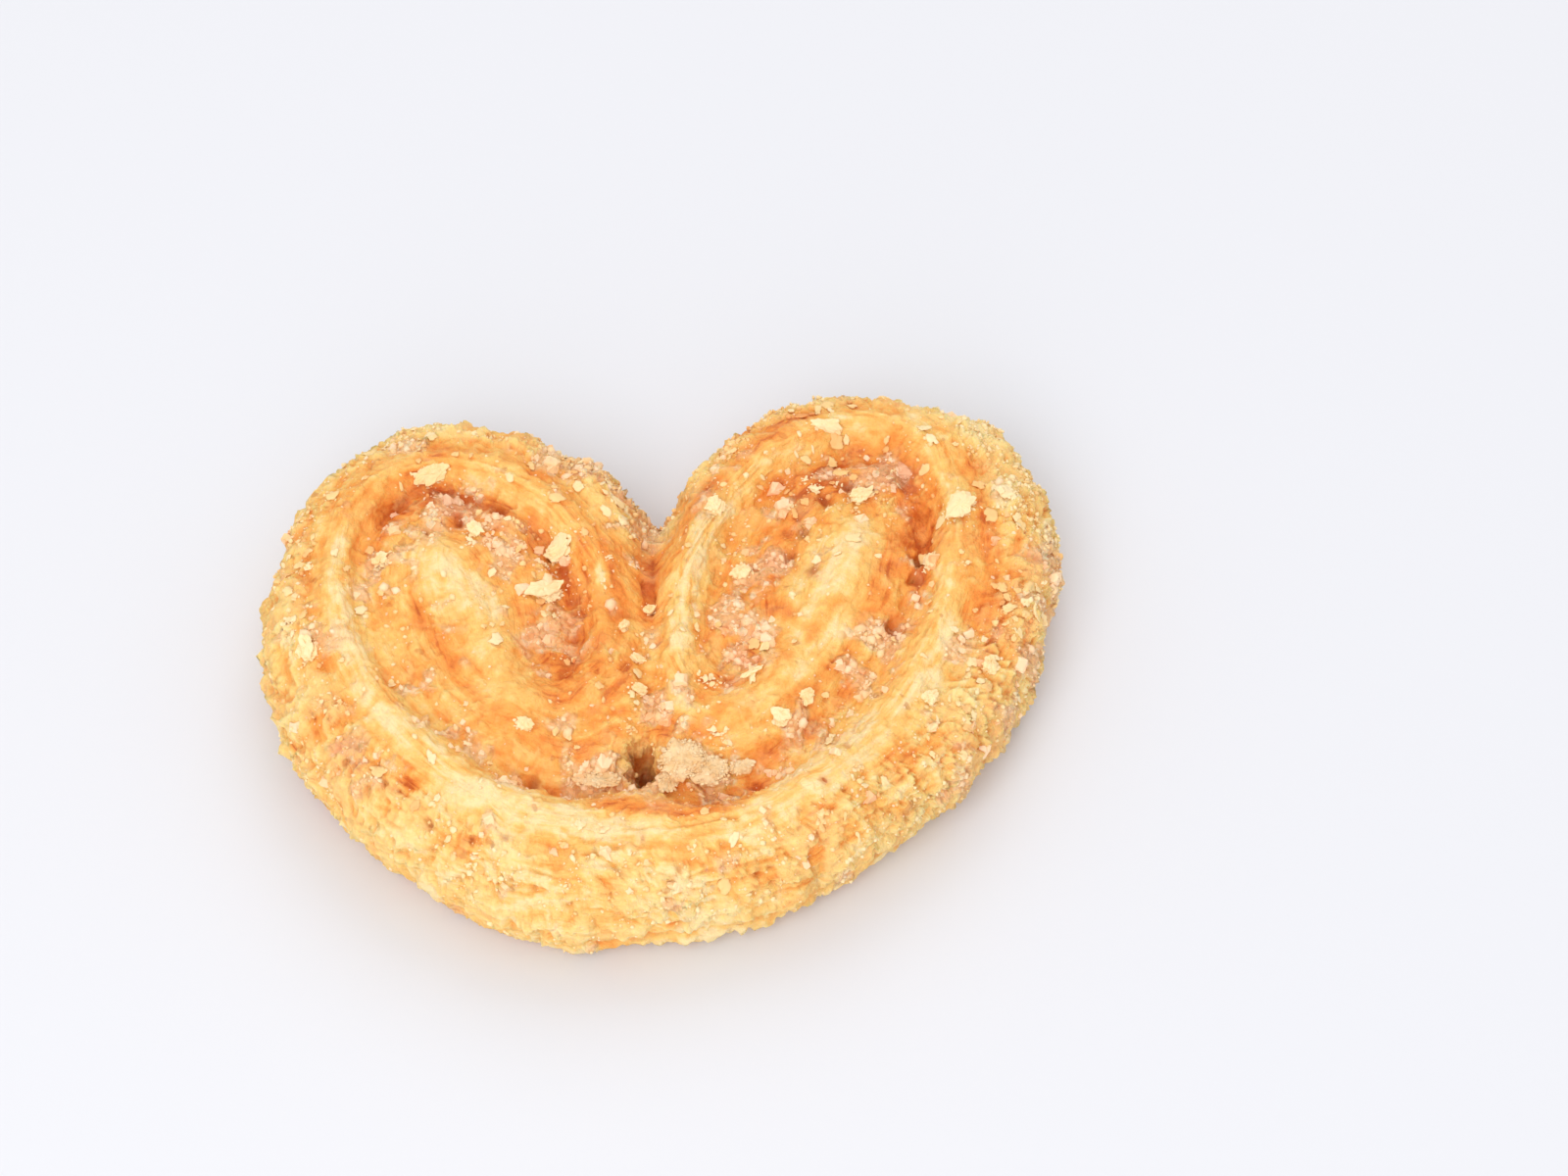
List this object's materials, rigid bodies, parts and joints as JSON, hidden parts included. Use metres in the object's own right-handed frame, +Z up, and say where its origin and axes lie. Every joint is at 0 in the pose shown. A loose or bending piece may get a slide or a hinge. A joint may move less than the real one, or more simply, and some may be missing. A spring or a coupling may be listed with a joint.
{
  "type": "palmier pastry",
  "caption": "Heart-shaped palmier of rolled puff pastry lying flat: two spiral lobes, a cleft with a small hole, and baked-on sugar grains and flakes.",
  "frame": {"origin": "middle of the bounding box, at the level of the surface it rests on", "axes": "+X across the two lobes, +Y from the point of the heart towards the cleft, +Z up through the thickness"},
  "size_m": [0.07, 0.0552, 0.0129],
  "materials": {
    "crust": "baked golden crust with clear sugar grains"
  },
  "bodies": {
    "root": {"palmier": "crust"}
  },
  "joints": []
}
